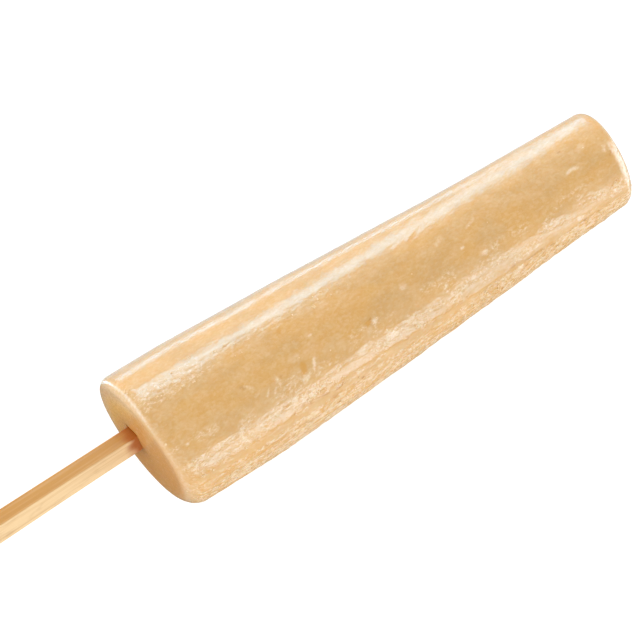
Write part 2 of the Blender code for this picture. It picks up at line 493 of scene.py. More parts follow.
# the same, across the wide face: 0 in its middle and 1 at its edge, on the side turned to the left light,
# where the painted light on the face and its rim is strongest
GLOW_LEFT = (0.2, 0.8)
FACE_LIGHT_LEFT = (0.25, 0.75)
RIM_LINE_LEFT = (-0.1, 0.6)
# the same, outwards from the wide face's middle as a share of its radius
GLOW_OUTWARDS = (0.6, 0.88)
FACED_OUTWARDS = (0.72, 0.96)

PATCH_LEAST = 0.7
CREST_SHARPNESS = 3.0
SEAM_ANGLE = -42.3
SEAM_WANDER = 2.0
SEAM_RISE = 3.0
SEAM_FALL = 5.0
SEAM_WIDTH = 1.7
SEAM_LEAST = 0.55
CREST_TURN = 29  # where the wide rim's painted highlight and the rim streak's reflection run, in degrees turned from the face
CREST_TURN_GROWTH = 22
CREST_TURN_ANGLES = (8, 45)
CREST_WIDTH = 9
# the painted highlight along the wide rim: its least share, its growth on the side turned to the left
# light, and its raggedness
RIM_LINE_LEAST = 0.2
RIM_LINE_GROWTH = 0.5
RIM_LINE_RAGGEDNESS = 0.12
# the painted highlight on the tip's rim: its even share, its raggedness, and its share on the corner
TIP_LINE_EVEN = 0.75
TIP_LINE_RAGGEDNESS = 0.5
TIP_CORNER = 0.6
ABOVE_UP = (0.0, 6.0)  # mm
FACED_LOST_ABOVE = 0.55
# painted shadow on the wide face round the stick: above its mouth, near it and beside it
SHADE_ABOVE = 0.2
SHADE_NEAR = 0.25
SHADE_BESIDE = 0.6
SHADE_START = 2.4  # mm from the stick's middle
SHADE_REACH = (0.2, 2.2)  # mm
SHADE_NEAR_UP = (0, 2)  # mm
BESIDE_START = 1.5  # mm
BESIDE_WIDTH = 2.4  # mm
BESIDE_ACROSS = (-2.6, 1.8)  # mm
FROST_LOST_IN_PITS = 0.8

# what the patterns add up to: relief in mm, the share of each look, and the chance of a crumb
RELIEF = {
    "swell": 1.0, "crests": 0.06, "lumps": 0.10, "broken_grain": 0.07, "gold_lines": -0.06, "seam": -0.08,
    "pale_marks": 0.09, "amber_marks": -0.05, "pits": -0.09,
}
# crest and lump tops are frosted; the frost on them also stands for light on the tops
FROST_SHARES = {
    "low": 0.20, "low_start": 0.25, "pale_half": 0.3, "crest_tops": 0.25, "broken": 0.35,
    "broken_start": 0.3, "lump_tops": 0.3, "rim_band": 0.07, "first_rows": 0.05,
}
# the pale look: pale marks and frost are the milk's own; glow and the rim and tip highlights are painted
# light
PALE_SHARES = {"pale_marks": 0.8, "painted_rim_highlight": 0.85, "glow": 0.20, "painted_tip_highlight": 0.90, "low": 0.03}
# amber marks, gold lines and the seam are the milk's own; the amber at the feet of crests and lumps is
# painted shade
AMBER_SHARES = {"amber_marks": 1.0, "lump_feet_shade": 0.6, "crest_feet_shade": 0.45, "gold_lines": 0.9, "seam": 0.95}
RUGGED_SHARES = {
    "everywhere": 0.16, "low": 0.75, "crumbly": 0.75, "broken": 0.55, "broken_start": 0.3, "pale_half": 0.3,
    "rim_band": 0.08,
}
CRUMB_SHARES = {
    "everywhere": 0.003, "crumbly": 1.0, "low": 0.3, "broken_start": 0.3, "broken": 0.5, "pale": 0.5,
}


def mixed(patterns, shares):
    """The patterns added up, each by its share."""
    return sum(share * patterns[name] for name, share in shares.items())


def shade_round_stick(points):
    """Painted shadow: how brown the milk is painted close to the stick, mostly on the side away from +Y,
    where the stick shades the face.
    """
    across = (points[:, 1] - STICK_ACROSS) / MM
    up = (points[:, 2] - STICK_UP) / MM
    near = 1 - smooth_step(*SHADE_REACH, np.hypot(across, up) - SHADE_START)
    near = near * (1 - smooth_step(*SHADE_NEAR_UP, up))
    beside = np.exp(-(np.maximum(-across - BESIDE_START, 0) / BESIDE_WIDTH) ** 2)
    beside = beside * (1 - smooth_step(*BESIDE_ACROSS, across)) * inside(up, *BESIDE_UP)
    return np.clip(SHADE_NEAR * near + SHADE_BESIDE * beside, 0, 1)


def seam_cover(along, angle, ragged, wander):
    """The gold seam that wavers along the bar under its lower streak."""
    middle = SEAM_ANGLE + SEAM_WANDER * wander + SEAM_RISE * inside(along, *SEAM_RISE_ALONG)
    middle = middle - SEAM_FALL * smooth_step(*SEAM_FALL_ALONG, along)
    cover = np.exp(-((angle - middle) / SEAM_WIDTH) ** 2) * inside(along, *SEAM_ALONG)
    return cover * at_least(SEAM_LEAST, smooth_step(*SEAM_GAPS, ragged))


def low_patterns(points, along, low):
    """Patterns of the side that is turned down: crinkled along the bar, and crumbly towards the tip."""
    frosted = low * at_least(PATCH_LEAST, smooth_step(*PATCHY, noise_at(points, *PATCH_NOISE)))
    crests = 1 - CREST_SHARPNESS * np.abs(noise_at(points, *CREST_NOISE))
    crumbly = low * inside(along, *CRUMBLY_ALONG)
    lumps = noise_at(points, *LUMP_NOISE)
    lines = 1 - smooth_step(*GOLD_LINE_EDGE, np.abs(noise_at(points, *GOLD_LINE_NOISE)))
    return {
        "low": frosted,
        "low_start": frosted * inside(along, *LOW_START_ALONG),
        "crests": frosted * crests,
        # frost on the crest tops, also standing for light on them; painted shade at their feet
        "crest_tops": frosted * np.maximum(crests, 0),
        "crest_feet_shade": frosted * smooth_step(*CREST_FEET, -crests),
        "crumbly": crumbly,
        "lumps": crumbly * lumps,
        # the same on the lumps: frost and light on their tops, painted shade at their feet
        "lump_tops": crumbly * smooth_step(*LUMP_TOPS, lumps),
        "lump_feet_shade": crumbly * smooth_step(*LUMP_FEET, -lumps),
        "gold_lines": lines * low * (1 - smooth_step(*GOLD_LINE_END, along)),
    }


def streak_patterns(points, along, angle, side):
    """Rough and pale patches, above the low side and where the upper streak of light starts."""
    broken = inside(angle, *BROKEN_ANGLES) * side * smooth_step(*BREAKS, noise_at(points, *BREAK_NOISE))
    start = sum(strength * inside(along, *where) * inside(angle, *turned)
                for where, turned, strength in START_PATCHES)
    pale_patches = smooth_step(*PALE_HALF_PATCHES, noise_at(points, *PALE_HALF_NOISE))
    return {
        "broken": broken,
        "broken_start": start,
        "broken_grain": (broken + start) * noise_at(points, *BROKEN_NOISE),
        "pale_half": inside(angle, *PALE_HALF_ANGLES) * side * pale_patches,
    }


def crest_turn(angle):
    """Where the wide rim's painted highlight and the rim streak's reflection run at an angle, both in
    degrees.
    """
    return CREST_TURN + CREST_TURN_GROWTH * smooth_step(*CREST_TURN_ANGLES, angle)


def rim_patterns(points, along, turn, angle, side, ragged):
    """Patterns of the wide face and of the two rims."""
    toward_left = points[:, 1] / (WIDE_RADIUS - WIDE_RIM_ACROSS)
    outwards = np.hypot(points[:, 1], points[:, 2]) / WIDE_RADIUS
    on_face = 1 - smooth_step(*FACE_END_TURNS, turn)
    # painted highlight along the wide rim's crest, where the rim streak's reflection also falls
    rim_share = RIM_LINE_LEAST + RIM_LINE_GROWTH * smooth_step(*RIM_LINE_LEFT, toward_left)
    painted_rim_highlight = np.exp(-((turn - crest_turn(angle)) / CREST_WIDTH) ** 2)
    # painted highlight along the tip's rim and on its corner
    painted_tip_highlight = inside(along, *TIP_LINE_ALONG) * inside(angle, *TIP_LINE_ANGLES)
    painted_tip_highlight = painted_tip_highlight * (1 - smooth_step(*TIP_LINE_END_TURNS, turn))
    painted_tip_highlight = painted_tip_highlight * (TIP_LINE_EVEN + TIP_LINE_RAGGEDNESS * ragged)
    tip_corner = TIP_CORNER * inside(turn, *TIP_CORNER_TURNS) * inside(angle, *TIP_CORNER_ANGLES)
    # painted light: a pale glow towards the wide face's edge, stronger on the side turned to the left light
    glow = smooth_step(*GLOW_OUTWARDS, outwards) * on_face * (1 + smooth_step(*GLOW_LEFT, toward_left))
    # above the stick's mouth, the face's painted shade gives way to more painted shadow
    above = inside(points[:, 1] / MM, *ABOVE_ACROSS) * smooth_step(*ABOVE_UP, points[:, 2] / MM)
    # painted shade: the wide face is darker and more orange away from its edge
    face_shade = (1 - smooth_step(*FACED_OUTWARDS, outwards)) * on_face * (1 - FACED_LOST_ABOVE * above)
    shade_near_stick = np.clip(shade_round_stick(points) + SHADE_ABOVE * above, 0, 1)
    return {
        "painted_rim_highlight": painted_rim_highlight * (rim_share + RIM_LINE_RAGGEDNESS * ragged),
        "rim_band": inside(turn, *RIM_BAND_TURNS),
        "first_rows": side * (1 - smooth_step(*FIRST_ROWS_END, along)),
        "glow": glow,
        "painted_tip_highlight": painted_tip_highlight + tip_corner,
        "face_shade": face_shade,
        # painted light: the wide face is golder on the side turned to the left light
        "painted_face_light": face_shade * smooth_step(*FACE_LIGHT_LEFT, toward_left),
        "shade_near_stick": shade_near_stick * (1 - smooth_step(*SHADE_END_TURNS, turn)),
    }


def skin(points, turn):
    """At each point: height above the true shape in metres, chance of a crumb, and the looks."""
    along = points[:, 0] / MM
    angle = np.degrees(np.arctan2(points[:, 1], points[:, 2]))
    side = inside(turn, *SIDE_TURNS)
    ragged = noise_at(points, *RAGGED_NOISE)
    wander = noise_at(points, *WANDER_NOISE)
    swell = sum(height * noise_at(points, *swell_noise) for height, swell_noise in SWELLS)
    pits = np.maximum(marked(PITS, along, angle, ragged), cracked(along, angle, ragged, wander)) * side
    patterns = {
        "everywhere": np.ones(len(points)),
        "swell": swell * at_least(SWELL_ON_FACES, side),
        "seam": seam_cover(along, angle, ragged, wander) * side,
        "pale_marks": marked(PALE_MARKS, along, angle, ragged) * side,
        "amber_marks": marked(AMBER_MARKS, along, angle, ragged) * side,
        "pits": pits,
        **low_patterns(points, along, inside(angle, *LOW_ANGLES) * side),
        **streak_patterns(points, along, angle, side),
        **rim_patterns(points, along, turn, angle, side, ragged),
    }
    patterns["pale"] = np.clip(mixed(patterns, PALE_SHARES), 0, 1)
    height = mixed(patterns, RELIEF) * MM * smooth_step(*HOLE_EDGE_TURNS, turn)
    crumbs = side * mixed(patterns, CRUMB_SHARES) * smooth_step(*CRUMB_GAPS, ragged)
    crumbs = crumbs * (1 - smooth_step(*CRUMB_END_ANGLES, np.abs(angle)))
    looks = {
        "frost": np.clip(mixed(patterns, FROST_SHARES) * (1 - FROST_LOST_IN_PITS * pits), 0, 1),
        "pale": patterns["pale"],
        "amber": np.clip(mixed(patterns, AMBER_SHARES), 0, 1),
        # painted shade in pits and cracks, over their real dents
        "pit_shade": np.clip(pits, 0, 1),
        "rugged": np.clip(mixed(patterns, RUGGED_SHARES), 0, 1),
        "face_shade": patterns["face_shade"],
        "painted_face_light": patterns["painted_face_light"],
        "shade_near_stick": patterns["shade_near_stick"],
    }
    return height, crumbs, looks


# ---- materials ----

# colours as linear light
MILK_TAN = (0.612, 0.380, 0.153)
MILK_GOLD = (0.670, 0.397, 0.138)
MILK_PINK = (0.705, 0.474, 0.240)
# pale of frost and pale marks, also used for painted highlights and glow
FROST_AND_LIGHT_PALE = (0.87, 0.715, 0.52)
CRUMB_PALE = (0.88, 0.71, 0.46)
AMBER = (0.62, 0.32, 0.06)
# painted shade in pits and cracks
PIT_SHADE_BROWN = (0.46, 0.20, 0.03)
# painted shade of the wide face
FACE_SHADE_TAN = (0.70, 0.320, 0.070)
# painted light on the wide face
FACE_LIT_GOLD = (0.90, 0.52, 0.14)
# painted shadow round the stick
FACE_SHADE_BROWN = (0.36, 0.13, 0.012)
BAMBOO_GOLD = (0.495, 0.224, 0.027)
BAMBOO_PALE = (0.79, 0.555, 0.29)
BAMBOO_FIBRE = (0.42, 0.20, 0.05)
# the milk's stain on the stick, also painted shade close to the bar
WET_AND_SHADE_BROWN = (0.40, 0.105, 0.003)
FLOOR_GREY = (0.45, 0.45, 0.45)
WHITE = (1.0, 1.0, 1.0)

# noise in a material: the size of its features in mm, how far they are drawn out, detail, distortion, shift
CLOUDS = (6.0, 1.8, 2.0)
MOTTLE = (2.6, 1.4, 4.0, 0.3, 5.0)
GRAIN = (0.55, 1.3, 3.0, 0.3, 11.0)
FLECKS = (0.5, 1.5, 3.0, 0.6, 23.0)
CHIPS = (0.7, 1.7, 5.0, 0.15, 31.0)
CRUMB_GRAIN = (0.4, 1.0, 2.0)
FIBRES = (0.32, 70.0, 3.0)
STREAKS = (1.1, 26.0, 2.0, 0.0, 7.0)
BAMBOO_MOTTLE = (1.6, 3.0, 2.0, 0.4, 13.0)
# ramps over noise: from a low and a high value, to two other values where they aren't 0 and 1
CLOUD_EDGE = (0.38, 0.62)
MOTTLE_EDGE = (0.35, 0.75)
MIDDLE = (0.3, 0.7)
FLECK_SPREAD = (0.2, 0.8, -0.4, 0.4)
COVER_EDGE = (0.2, 0.8)
# the chip relief's pale tops and amber hollows: painted light and painted shade
LIT_CHIP_TOPS = (0.52, 0.62, 0.0, 0.6)
SHADED_CHIP_HOLLOWS = (0.47, 0.36, 0.0, 0.6)
AMBER_GRAIN = (0.35, 0.6, 0.3, 0.0)
STREAK_SPREAD = (0.3, 0.7, -0.25, 0.25)
DARK_FIBRES = (0.52, 0.72, 0.0, 0.38)
DARK_MOTTLE = (0.5, 0.75, 0.0, 0.22)
MILK_ROUGHNESS = (0.3, 0.7, 0.12, 0.20)
CRUMB_ROUGHNESS = (0.3, 0.7, 0.3, 0.5)
BAMBOO_ROUGHNESS = (0.3, 0.7, 0.42, 0.56)
FROST_ROUGHNESS = 0.14
RUGGED_ROUGHNESS = 0.10
WET_SMOOTHNESS = 0.15
FLOOR_ROUGHNESS = 0.9
FLOOR_GLOW = 0.7
CRUMB_SPECULAR = 0.2
BAMBOO_SPECULAR = 0.3
# relief that only shades, in mm
GRAIN_BUMP = 0.04
CHIP_BUMP = 0.25
CRUMB_BUMP = 0.02
FIBRE_BUMP = 0.05
MILK_CLEARNESS = 0.35
MILK_SCATTER = (1.0, 0.5, 0.22)
MILK_SCATTER_REACH = 0.003


class Graph:
    """The nodes of a material or of the world, with short calls that add linked nodes."""

    def __init__(self, owner):
        owner.use_nodes = True
        self.owner = owner
        self.nodes = owner.node_tree.nodes
        self.links = owner.node_tree.links

    def add(self, kind, **settings):
        """A new node with these settings."""
        node = self.nodes.new("ShaderNode" + kind)
        for name, value in settings.items():
            setattr(node, name, value)
        return node

    def join(self, value, socket):
        """Link a node's output to a socket, or set a number, a vector or a colour on it."""
        if isinstance(value, bpy.types.NodeSocket):
            self.links.new(value, socket)
        elif isinstance(value, tuple) and len(value) < len(socket.default_value):
            socket.default_value = (*value, 1.0)
        else:
            socket.default_value = value

    def join_all(self, values, sockets):
        """Join each value to its socket."""
        for value, socket in zip(values, sockets):
            self.join(value, socket)

    def shade(self, **values):
        """Set the shader's sockets, with _ for the spaces in their names, and return the material."""
        for name, value in values.items():
            self.join(value, self.nodes["Principled BSDF"].inputs[name.replace("_", " ")])
        return self.owner

    def attribute(self, name, output="Fac"):
        """A value that the mesh carries."""
        return self.add("Attribute", attribute_name=name).outputs[output]

    def place(self, name):
        """A vector attribute, in millimetres."""
        node = self.add("VectorMath", operation="SCALE")
        self.join(self.attribute(name, "Vector"), node.inputs[0])
        self.join(1 / MM, node.inputs["Scale"])
        return node.outputs[0]

    def math(self, operation, first, second):
        """The result of a sum on two values."""
        node = self.add("Math", operation=operation)
        self.join_all((first, second), node.inputs)
        return node.outputs[0]

    def ramp(self, value, low, high, to_low=0.0, to_high=1.0):
        """A value spread smoothly from the range low to high over the range to_low to to_high."""
        node = self.add("MapRange", interpolation_type="SMOOTHSTEP")
        self.join_all((value, low, high, to_low, to_high), node.inputs)
        return node.outputs[0]

    def tint(self, factor, first, second):
        """A mix of two colours."""
        node = self.add("Mix", data_type="RGBA")
        self.join_all((factor, first, second), (node.inputs["Factor"], *node.inputs[6:8]))
        return node.outputs[2]

    def layered(self, color, layers):
        """A colour under layers of others: where each lies, how strongly, and its colour."""
        for where, strength, over in layers:
            color = self.tint(self.math("MULTIPLY", where, strength), color, over)
        return color

    def noise(self, place, size, stretch=1.0, detail=2.0, distortion=0.0, shift=0.0):
        """Noise with features of a size in millimetres, drawn out along the piece."""
        mapping = self.add("Mapping")
        self.join(place, mapping.inputs["Vector"])
        self.join((shift, shift, shift), mapping.inputs["Location"])
        self.join((1 / (size * stretch), 1 / size, 1 / size), mapping.inputs["Scale"])
        node = self.add("TexNoise")
        self.join(mapping.outputs[0], node.inputs["Vector"])
        for name, value in (("Scale", 1.0), ("Detail", detail), ("Distortion", distortion)):
            self.join(value, node.inputs[name])
        return node.outputs["Fac"]

    def bump(self, height, depth, below=None):
        """Shading relief of a depth in millimetres, on top of the relief below it."""
        node = self.add("Bump")
        self.join(height, node.inputs["Height"])
        self.join(depth * MM, node.inputs["Distance"])
        if below:
            self.join(below, node.inputs["Normal"])
        return node.outputs[0]


def milk_material():
    """Frozen milk: mottled tan to gold, waxy and a little translucent, with frost, amber, and creases
    darkened by painted shade; its colour also holds painted highlights on the rims, painted light and shade
    on the wide face and in the relief, and painted shadow round the stick.
    """
    graph = Graph(bpy.data.materials.new("frozen_milk"))
    place = graph.place("bar")
    rugged = graph.attribute("rugged")
    grain = graph.noise(place, *GRAIN)
    chips = graph.noise(place, *CHIPS)
    # frost breaks up into flecks where it is thin
    flecks = graph.ramp(graph.noise(place, *FLECKS), *FLECK_SPREAD)
    frost = graph.ramp(graph.math("ADD", graph.attribute("frost"), flecks), *COVER_EDGE)
    milk = graph.tint(graph.ramp(graph.noise(place, *CLOUDS), *CLOUD_EDGE), MILK_TAN, MILK_GOLD)
    color = graph.layered(milk, (
        (graph.ramp(graph.noise(place, *MOTTLE), *MOTTLE_EDGE), 0.65, MILK_PINK),
        # painted shade over the wide face
        (graph.attribute("face_shade"), 0.9, FACE_SHADE_TAN),
        # painted light on the face's side turned to the left light
        (graph.attribute("painted_face_light"), 0.9, FACE_LIT_GOLD),
        # painted shadow round the stick
        (graph.attribute("shade_near_stick"), 1.0, FACE_SHADE_BROWN),
        # pale marks, with painted highlights on both rims and a painted glow on the wide face
        (graph.attribute("pale"), 1.0, FROST_AND_LIGHT_PALE),
        (frost, 0.5, FROST_AND_LIGHT_PALE),
        # painted light on the chip tops and painted shade in their hollows
        (graph.ramp(chips, *LIT_CHIP_TOPS), rugged, FROST_AND_LIGHT_PALE),
        (graph.ramp(chips, *SHADED_CHIP_HOLLOWS), rugged, AMBER),
        # amber marks and gold lines, with painted shade at the feet of crests and lumps
        (graph.attribute("amber"), 0.85, AMBER),
        # painted shade in pits and cracks
        (graph.attribute("pit_shade"), 0.8, PIT_SHADE_BROWN),
        (graph.ramp(grain, *AMBER_GRAIN), 1.0, AMBER),
    ))
    frosted = graph.math("MULTIPLY", frost, FROST_ROUGHNESS)
    rough = graph.math("ADD", graph.ramp(grain, *MILK_ROUGHNESS), frosted)
    rough = graph.math("ADD", rough, graph.math("MULTIPLY", rugged, RUGGED_ROUGHNESS))
    normal = graph.bump(graph.math("MULTIPLY", chips, rugged), CHIP_BUMP, graph.bump(grain, GRAIN_BUMP))
    return graph.shade(Base_Color=color, Roughness=rough, Normal=normal, Subsurface_Weight=MILK_CLEARNESS,
                       Subsurface_Radius=MILK_SCATTER, Subsurface_Scale=MILK_SCATTER_REACH)


def crumb_material():
    """Frost crystals: paler than the milk that they sit on, and matt."""
    graph = Graph(bpy.data.materials.new("frost"))
    grain = graph.noise(graph.place("bar"), *CRUMB_GRAIN)
    color = graph.tint(graph.ramp(grain, *MIDDLE), MILK_GOLD, CRUMB_PALE)
    return graph.shade(Base_Color=color, Roughness=graph.ramp(grain, *CRUMB_ROUGHNESS),
                       Normal=graph.bump(grain, CRUMB_BUMP), Specular_IOR_Level=CRUMB_SPECULAR)


def bamboo_material():
    """Split bamboo: golden on one side and pale on the other, with long fibres, a painted highlight along
    its edges, and stained by the milk, with painted shade close to the bar.
    """
    graph = Graph(bpy.data.materials.new("bamboo"))
    place = graph.place("stick")
    wet_and_shade = graph.attribute("wet_and_shade")
    fibres = graph.noise(place, *FIBRES)
    streaks = graph.ramp(graph.noise(place, *STREAKS), *STREAK_SPREAD)
    tone = graph.math("ADD", graph.attribute("golden"), streaks)
    color = graph.layered(graph.tint(graph.ramp(tone, 0.0, 1.0), BAMBOO_PALE, BAMBOO_GOLD), (
        (graph.ramp(fibres, *DARK_FIBRES), 1.0, BAMBOO_FIBRE),
        (graph.ramp(graph.noise(place, *BAMBOO_MOTTLE), *DARK_MOTTLE), 1.0, BAMBOO_FIBRE),
        # painted highlight along the stick's rounded edges
        (graph.attribute("edge"), 0.5, BAMBOO_PALE),
        # milk stain on the stick, with painted shade close to the bar
        (wet_and_shade, 1.0, WET_AND_SHADE_BROWN),
    ))
    dry = graph.ramp(fibres, *BAMBOO_ROUGHNESS)
    rough = graph.math("SUBTRACT", dry, graph.math("MULTIPLY", wet_and_shade, WET_SMOOTHNESS))
    return graph.shade(Base_Color=color, Roughness=rough, Normal=graph.bump(fibres, FIBRE_BUMP),
                       Specular_IOR_Level=BAMBOO_SPECULAR)


def floor_material():
    """Plain pale grey that glows a little, so that it stays even."""
    graph = Graph(bpy.data.materials.new("floor"))
    return graph.shade(Base_Color=FLOOR_GREY, Roughness=FLOOR_ROUGHNESS, Emission_Color=WHITE,
                       Emission_Strength=FLOOR_GLOW)


# ---- pieces ----

def add_object(name, data):
    """An object with this data, in the scene."""
    made = bpy.data.objects.new(name, data)
    bpy.context.scene.collection.objects.link(made)
    return made


def add_piece(name, mesh):
    """A piece of the kulfi with this mesh, in the one body."""
    piece = add_object(name, mesh)
    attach(piece, "root")
    return piece


def make_bar():
    """The bar's skin over the solid.  Returns it, the matrix that lays it down, and where crumbs lie."""
    rows, turns = bar_rows()
    around = rows.shape[1]
    shape = bend(rows.reshape(-1, 3))
    hole_end = np.array(stick_middle(-HOLE_ROWS[0][0] * MM))
    tip_end = bend(np.array([[LENGTH + TIP_DOME, 0.0, 0.0]]))[0]
    bar_points = np.concatenate([shape, [hole_end, tip_end]])
    turn = np.concatenate([np.repeat(turns, around), [IN_HOLE, ON_TIP]])
    placed = lying_matrix(shape)
    points = transform(bar_points, placed)
    mesh = skin_mesh("frozen_bar", points[:-2], len(rows), around, points[-2], points[-1])
    height, crumbs, looks = skin(bar_points, turn)
    points = points + vertex_vectors(mesh, "normal") * height[:, None]
    points[:, 2] = np.maximum(points[:, 2], 0.0)
    mesh.vertices.foreach_set("co", points.astype(np.float32).ravel())
    mesh.update()
    add_attribute(mesh, "bar", bar_points, "FLOAT_VECTOR")
    for name, values in looks.items():
        add_attribute(mesh, name, values)
    mesh.materials.append(milk_material())
    bar = add_piece("frozen_bar", mesh)
    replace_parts(bar, "kulfi")
    return bar, placed, crumbs


CRUMBS = 520
CRUMB_RADII = (0.13, 0.36)  # mm
CRUMB_SMALLNESS = 3  # the higher this is, the more of them are small
CRUMB_JAG = 0.34
CRUMB_STRETCH = ((0.8, 0.5, 0.22), (1.4, 1.0, 0.42))
CRUMB_SUNK = 0.12  # of its radius
CRUMB_LOWEST = 0.5  # mm above the ground
CRUMB_SEED = 5


def rough_ball():
    """The corners and faces of a coarse ball of radius 1."""
    ball = bmesh.new()
    bmesh.ops.create_icosphere(ball, subdivisions=1, radius=1.0)
    ball.verts.ensure_lookup_table()
    corners = np.array([vertex.co for vertex in ball.verts])
    faces = np.array([[vertex.index for vertex in face.verts] for face in ball.faces])
    ball.free()
    return corners, faces


def flake(corners, normal, chance):
    """One broken flake, lying on a surface with this normal, and its radius in metres."""
    smallest, largest = CRUMB_RADII
    radius = (smallest + (largest - smallest) * chance.random() ** CRUMB_SMALLNESS) * MM
    upright = np.array(Vector((0.0, 0.0, 1.0)).rotation_difference(Vector(normal)).to_matrix())
    spin = np.array(Matrix.Rotation(chance.random() * math.tau, 3, "Z"))
    jagged = corners * (1 + CRUMB_JAG * chance.normal(size=(len(corners), 1)))
    return (jagged * chance.uniform(*CRUMB_STRETCH) * radius) @ (upright @ spin).T, radius


def make_crumbs(bar, placed, crumbs):
    """Broken flakes of frost and milk, mostly sunk in the skin where it is frosted, as one mesh."""
    chance = np.random.default_rng(CRUMB_SEED)
    corners, faces = rough_ball()
    points = vertex_vectors(bar.data, "co")
    normals = vertex_vectors(bar.data, "normal")
    weight = np.where(points[:, 2] > CRUMB_LOWEST * MM, crumbs, 0.0)
    vertices = []
    for spot in chance.choice(len(points), CRUMBS, replace=False, p=weight / weight.sum()):
        form, radius = flake(corners, normals[spot], chance)
        vertices.append(form + points[spot] - normals[spot] * radius * CRUMB_SUNK)
    all_faces = np.concatenate([faces + len(corners) * index for index in range(CRUMBS)])
    vertices = np.concatenate(vertices)
    vertices[:, 2] = np.maximum(vertices[:, 2], 0.0)
    mesh = bpy.data.meshes.new("frost_crumbs")
    mesh.from_pydata(vertices.tolist(), [], all_faces.tolist())
    add_attribute(mesh, "bar", transform(vertices, placed.inverted()), "FLOAT_VECTOR")
    mesh.materials.append(crumb_material())
    add_piece("frost_crumbs", mesh)


STICK_CORNER = 0.00018
STICK_FACE_COLUMNS = 9
STICK_CORNER_COLUMNS = 4
STICK_HIDDEN_ROWS = (-STICK_EMBEDDED, -0.030)
STICK_SHOWN_START = -0.002
STICK_SHOWN_ROWS = 150
STICK_END_ROWS = 4
STICK_END_CHAMFER = 0.0003
# raised fibres: height in mm, and the noise
STICK_FIBRES = (
    (0.03, (0.45, 60.0, 21)),
    (0.045, (1.6, 14.0, 22)),
)
SAWN_RELIEF = 0.05  # mm
SAWN_NOISE = (0.5, 1.0, 23)
GOLDEN_SIDE = (-0.12, 0.12)
WET_NOISE = (1.4, 1.6, 24)
WET_UNEVENNESS = 0.9  # mm
WET_REACH = 4.4  # mm out from the wide face
WET_SHORTER = 1.2  # mm, beside the upper ridge
WET_SHORTER_ACROSS = (-0.5, -0.1, 0.2)
WET_FULL = 0.35  # the share of its reach where it is strongest


def stick_section():
    """Points round the stick: each one's place on a square, the way its rounding goes, and 1 on an edge.

    A point lies at place * (half the side less the corner) + rounding * corner.
    """
    section = []
    for quarter in range(4):
        turn = STICK_TURN + math.radians(90.0) * quarter
        outward = np.array([math.cos(turn), math.sin(turn)])
        sideways = np.array([-math.sin(turn), math.cos(turn)])
        for column in range(STICK_FACE_COLUMNS):
            place = 2 * column / (STICK_FACE_COLUMNS - 1) - 1
            section.append((outward + place * sideways, outward, 0.0))
        for column in range(1, STICK_CORNER_COLUMNS):
            swing = math.radians(90.0) * column / STICK_CORNER_COLUMNS
            rounding = outward * math.cos(swing) + sideways * math.sin(swing)
            section.append((outward + sideways, rounding, 1.0))
    return (np.array(part) for part in zip(*section))


def stick_rows(square, outward):
    """How far out each row of the stick's skin lies, and the row's points round the stick's middle line."""
    shown = np.linspace(STICK_SHOWN_START, STICK_OUT - STICK_END_CHAMFER, STICK_SHOWN_ROWS)
    outs = [*STICK_HIDDEN_ROWS, *shown, STICK_OUT]
    halves = [stick_half(out) for out in outs]
    halves[-1] -= STICK_END_CHAMFER
    rows = [square * (half - STICK_CORNER) + outward * STICK_CORNER for half in halves]
    sawn_edge = rows[-1]
    for row in range(1, STICK_END_ROWS):
        outs.append(STICK_OUT)
        rows.append(sawn_edge * (1 - row / STICK_END_ROWS))
    return outs, rows


def stick_wet_and_shade(grown, section):
    """How far the milk stains the stick at each point; the same brown is painted shade on it close to the
    bar.
    """
    reach = WET_REACH - WET_SHORTER * inside(section[:, 0] / MM, *WET_SHORTER_ACROSS)
    out = grown[:, 0] / MM + WET_UNEVENNESS * noise_at(grown, *WET_NOISE)
    return 1 - smooth_step(WET_FULL * reach, reach, out)


def make_stick(placed):
    """The bamboo stick: rounded edges, raised fibres, and a sawn end."""
    square, outward, edge = stick_section()
    outs, rows = stick_rows(square, outward)
    columns = len(edge)
    true_out = np.repeat(outs, columns)
    section = np.concatenate(rows)
    grown = np.column_stack([true_out, section])
    sawn = true_out >= STICK_OUT
    fibres = sum(height * noise_at(grown, *fibre_noise) for height, fibre_noise in STICK_FIBRES)
    raised = np.tile(outward, (len(rows), 1)) * (fibres * MM * (true_out > 0))[:, None]
    raised[-(STICK_END_ROWS - 1) * columns:] = 0.0
    section = section + raised
    out = true_out + SAWN_RELIEF * (noise_at(grown, *SAWN_NOISE) - 1) * MM * sawn
    middles = np.array([[STICK_EMBEDDED, 0.0, 0.0], [-STICK_OUT, 0.0, 0.0]])
    local = np.concatenate([np.column_stack([-out, section]), middles])
    yaw = np.array(Matrix.Rotation(STICK_YAW, 3, "Z"))
    points = transform(local @ yaw.T + np.array([0.0, STICK_ACROSS, STICK_UP]), placed)
    mesh = skin_mesh("bamboo_stick", points[:-2], len(rows), columns, points[-2], points[-1])
    golden = smooth_step(*GOLDEN_SIDE, np.tile(outward[:, 0], len(rows)))
    # the pale line on the stick's rounded edges is a painted highlight
    edges = np.tile(edge, len(rows)) * (out < STICK_OUT - MM)
    add_attribute(mesh, "stick", np.concatenate([grown, middles]), "FLOAT_VECTOR")
    add_attribute(mesh, "golden", np.concatenate([golden, [0.5, 0.5]]))
    add_attribute(mesh, "edge", np.concatenate([edges, [0.0, 0.0]]))
    # milk stain on the stick, also painted shade where the stick meets the bar
    add_attribute(mesh, "wet_and_shade", np.concatenate([stick_wet_and_shade(grown, section), [1.0, 0.0]]))
    mesh.materials.append(bamboo_material())
    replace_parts(add_piece("bamboo_stick", mesh), "stick")


# ---- stage ----

